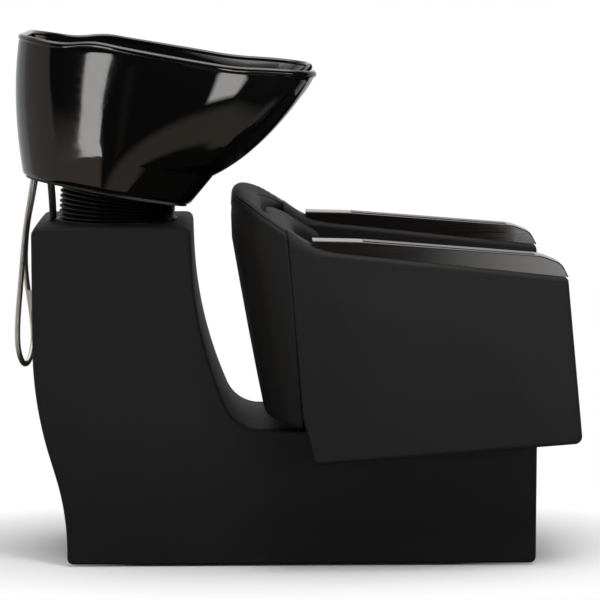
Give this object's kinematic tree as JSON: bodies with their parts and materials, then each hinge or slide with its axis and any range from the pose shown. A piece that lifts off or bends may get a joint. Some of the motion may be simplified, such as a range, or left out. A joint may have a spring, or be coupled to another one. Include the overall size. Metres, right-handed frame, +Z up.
{
  "type": "salon backwash unit",
  "caption": "Salon hair washing unit: padded tub chair on an upholstered base whose rear column carries a tilting black ceramic basin inside a rubber bellows.",
  "frame": {"origin": "centre of the footprint of the whole unit without its hose loop, on the floor", "axes": "+X forward from the basin to the sitter's feet, +Y to the sitter's left, +Z up"},
  "size_m": [1.0199, 0.616, 0.9688],
  "materials": {
    "black_leather": "satin black synthetic leather over foam",
    "plywood": "bare plywood",
    "cap_lacquer": "dark gloss",
    "inlay_metal": "fine brushed grey",
    "black_ceramic": "black glaze",
    "black_rubber": "matt",
    "hose_rubber": "smooth",
    "black_steel": "black powder coat",
    "zinc_steel": "zinc plated",
    "washer_plastic": "moulded nylon",
    "waste_plastic": "moulded plastic",
    "chrome": "polished",
    "hose_steel": "interlocked bright steel",
    "nut_brass": "turned",
    "tag_paper": "uncoated"
  },
  "bodies": {
    "base": {"arm_brackets": "black_steel", "arm_cap_left": "cap_lacquer", "arm_cap_right": "cap_lacquer", "arm_frames": "plywood", "arm_inner_cover_left": "black_leather", "arm_inner_cover_right": "black_leather", "arm_inserts": "inlay_metal", "arm_outer_cover_left": "black_leather", "arm_outer_cover_right": "black_leather", "back_cushion": "black_leather", "back_frame": "plywood", "back_inner_cover": "black_leather", "base_cross_boards": "plywood", "base_front_cover": "black_leather", "base_rear_board": "plywood", "base_rear_cover": "black_leather", "base_side_boards": "plywood", "base_side_cover_left": "black_leather", "base_side_cover_right": "black_leather", "base_top_cover": "black_leather", "bellows": "black_rubber", "bellows_lower_ring": "black_rubber", "bellows_ring_screws": "zinc_steel", "bottom_board": "plywood", "bracket_bolts": "zinc_steel", "chair_back_shell": "black_leather", "chair_rails": "plywood", "column_deck": "plywood", "column_front_panel": "plywood", "drain_hose": "waste_plastic", "friction_washers": "washer_plastic", "glides": "washer_plastic", "pivot_bolts": "zinc_steel", "pivot_bracket": "black_steel", "pivot_nuts": "zinc_steel", "platform_deck": "plywood", "seat_cushion": "black_leather", "seat_deck": "plywood", "service_panel": "black_leather", "service_panel_screws": "zinc_steel", "supply_hose_cold": "hose_rubber", "supply_hose_hot": "hose_rubber", "supply_tail_nuts": "nut_brass", "supply_tails": "hose_rubber", "waste_pipe": "waste_plastic"},
    "basin": {"basin_bowl": "black_ceramic", "cradle": "black_steel", "bellows_upper_ring": "black_rubber", "drain_flange": "chrome", "mixer_body": "chrome", "shower_holder": "chrome", "hose_grommets": "black_rubber", "hose_mixer_tail": "hose_steel"},
    "mixer_cap": {"mixer_cap": "chrome"},
    "mixer_lever": {"mixer_lever": "chrome"},
    "shower": {"hand_shower": "chrome", "hose_riser": "hose_steel"},
    "strainer": {"strainer": "chrome"},
    "hose_loop": {"spray_hose": "hose_steel", "hose_tag": "tag_paper"}
  },
  "joints": [
    {"name": "basin_tilt", "type": "hinge", "parent": "base", "child": "basin", "pos_m": [-0.3275, 0, 0.656], "axis": [0, -1, 0], "range_deg": [0, 16], "deforming": ["bellows", "drain_hose", "supply_hose_cold", "supply_hose_hot"]},
    {"name": "hose_swing", "type": "hinge", "parent": "basin", "child": "hose_loop", "pos_m": [-0.48216, 0, 0.70881], "axis": [0, -1, 0], "range_deg": [-16, 0]},
    {"name": "mixer_turn", "type": "hinge", "parent": "basin", "child": "mixer_cap", "pos_m": [-0.44284, -0.034, 0.90712], "axis": [0.1685, 0, 0.9857], "range_deg": [-35, 35]},
    {"name": "mixer_lift", "type": "hinge", "parent": "mixer_cap", "child": "mixer_lever", "pos_m": [-0.44082, -0.034, 0.9189], "axis": [0, -1, 0], "range_deg": [0, 22]},
    {"name": "shower_lift", "type": "slide", "parent": "basin", "child": "shower", "axis": [0.1685, 0, 0.9857], "range_m": [0, 0.12]},
    {"name": "strainer_lift", "type": "slide", "parent": "basin", "child": "strainer", "axis": [0.1685, 0, 0.9857], "range_m": [0, 0.04]}
  ],
  "couplings": [
    {"joint": "hose_swing", "follows": "basin_tilt", "ratio": -1}
  ]
}
